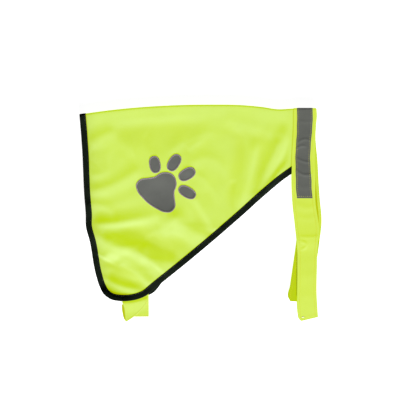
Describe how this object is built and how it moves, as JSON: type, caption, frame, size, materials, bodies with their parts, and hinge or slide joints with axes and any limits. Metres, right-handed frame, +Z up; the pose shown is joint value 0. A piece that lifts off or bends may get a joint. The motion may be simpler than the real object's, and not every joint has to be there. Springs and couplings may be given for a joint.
{
  "type": "dog safety vest",
  "caption": "Folded high-visibility dog vest laid flat: bright cape with dark bound edge, neckband with reflective tape, paw applique and belly straps.",
  "frame": {"origin": "middle of the bottom of the vest's box, on the surface that it lies on", "axes": "+X towards the neckband, +Y towards the spine fold, +Z up through the near half"},
  "size_m": [0.3996, 0.3584, 0.0101],
  "materials": {
    "fluorescent_knit": "matt fluorescent yellow-green knit",
    "black_binding": "matt black woven binding",
    "fluorescent_webbing": "matt fluorescent yellow-green doubled cloth",
    "reflective_grey": "satin grey reflective film on cloth",
    "hook_and_loop": "matt pale hook-and-loop pile"
  },
  "bodies": {
    "root": {"cape": "fluorescent_knit", "binding": "black_binding", "neckband": "fluorescent_webbing", "reflective_tape": "reflective_grey", "hook_strip": "hook_and_loop", "belly_strap_near": "fluorescent_webbing", "belly_strap_far": "fluorescent_webbing", "paw_pad": "reflective_grey", "paw_toe_1": "reflective_grey", "paw_toe_2": "reflective_grey", "paw_toe_3": "reflective_grey", "paw_toe_4": "reflective_grey"}
  },
  "joints": []
}
